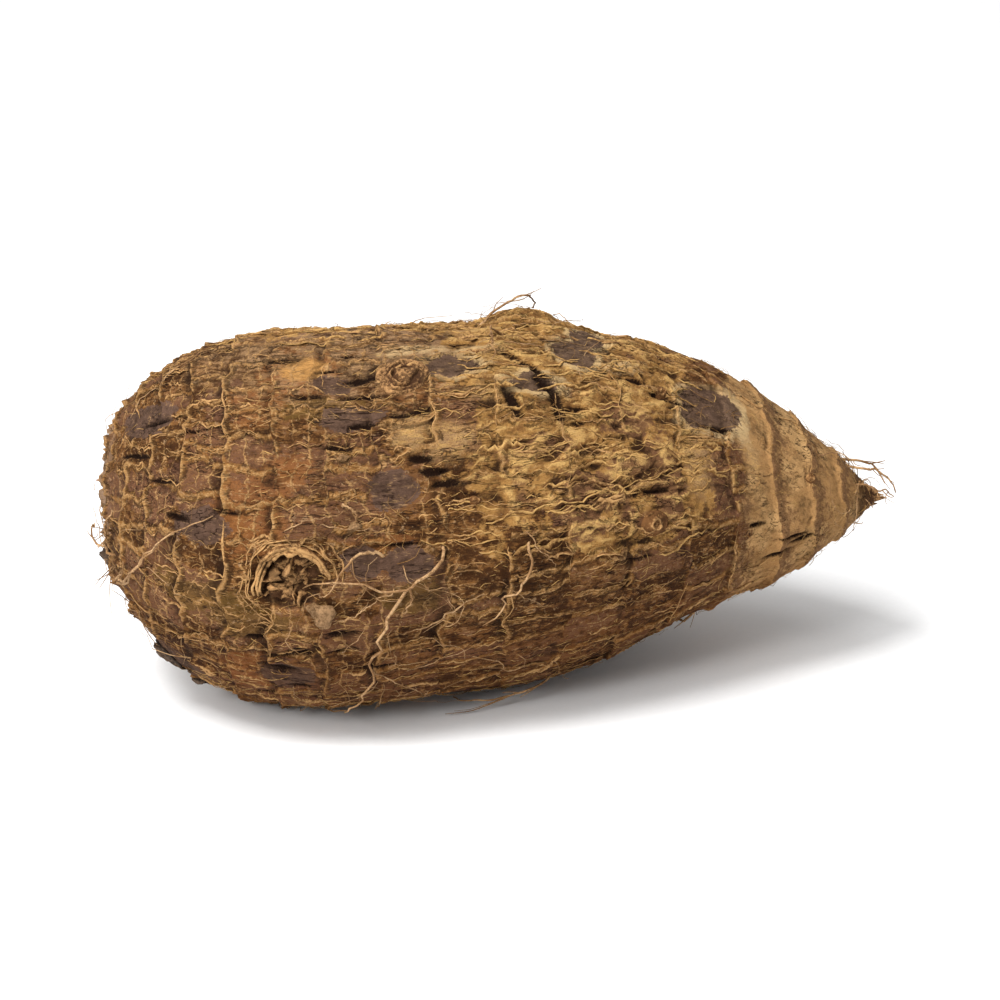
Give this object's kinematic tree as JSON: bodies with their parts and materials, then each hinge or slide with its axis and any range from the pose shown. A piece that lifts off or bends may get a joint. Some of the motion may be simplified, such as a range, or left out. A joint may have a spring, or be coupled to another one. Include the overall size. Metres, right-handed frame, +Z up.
{
  "type": "taro root",
  "caption": "Whole taro root lying on its belly: ringed, scaly brown bark with buds, a torn scar and thin roots, blunt at the crown and tapered to the tail.",
  "frame": {"origin": "on the table, under the middle of the root's bounding box", "axes": "+X runs from the blunt crown end to the tapered tail, +Z is up, -Y is the side that the root bows to"},
  "size_m": [0.1428, 0.077, 0.0673],
  "materials": {
    "bark": "dry fibrous bark, matte"
  },
  "bodies": {
    "root": {"taro_root": "bark"}
  },
  "joints": []
}
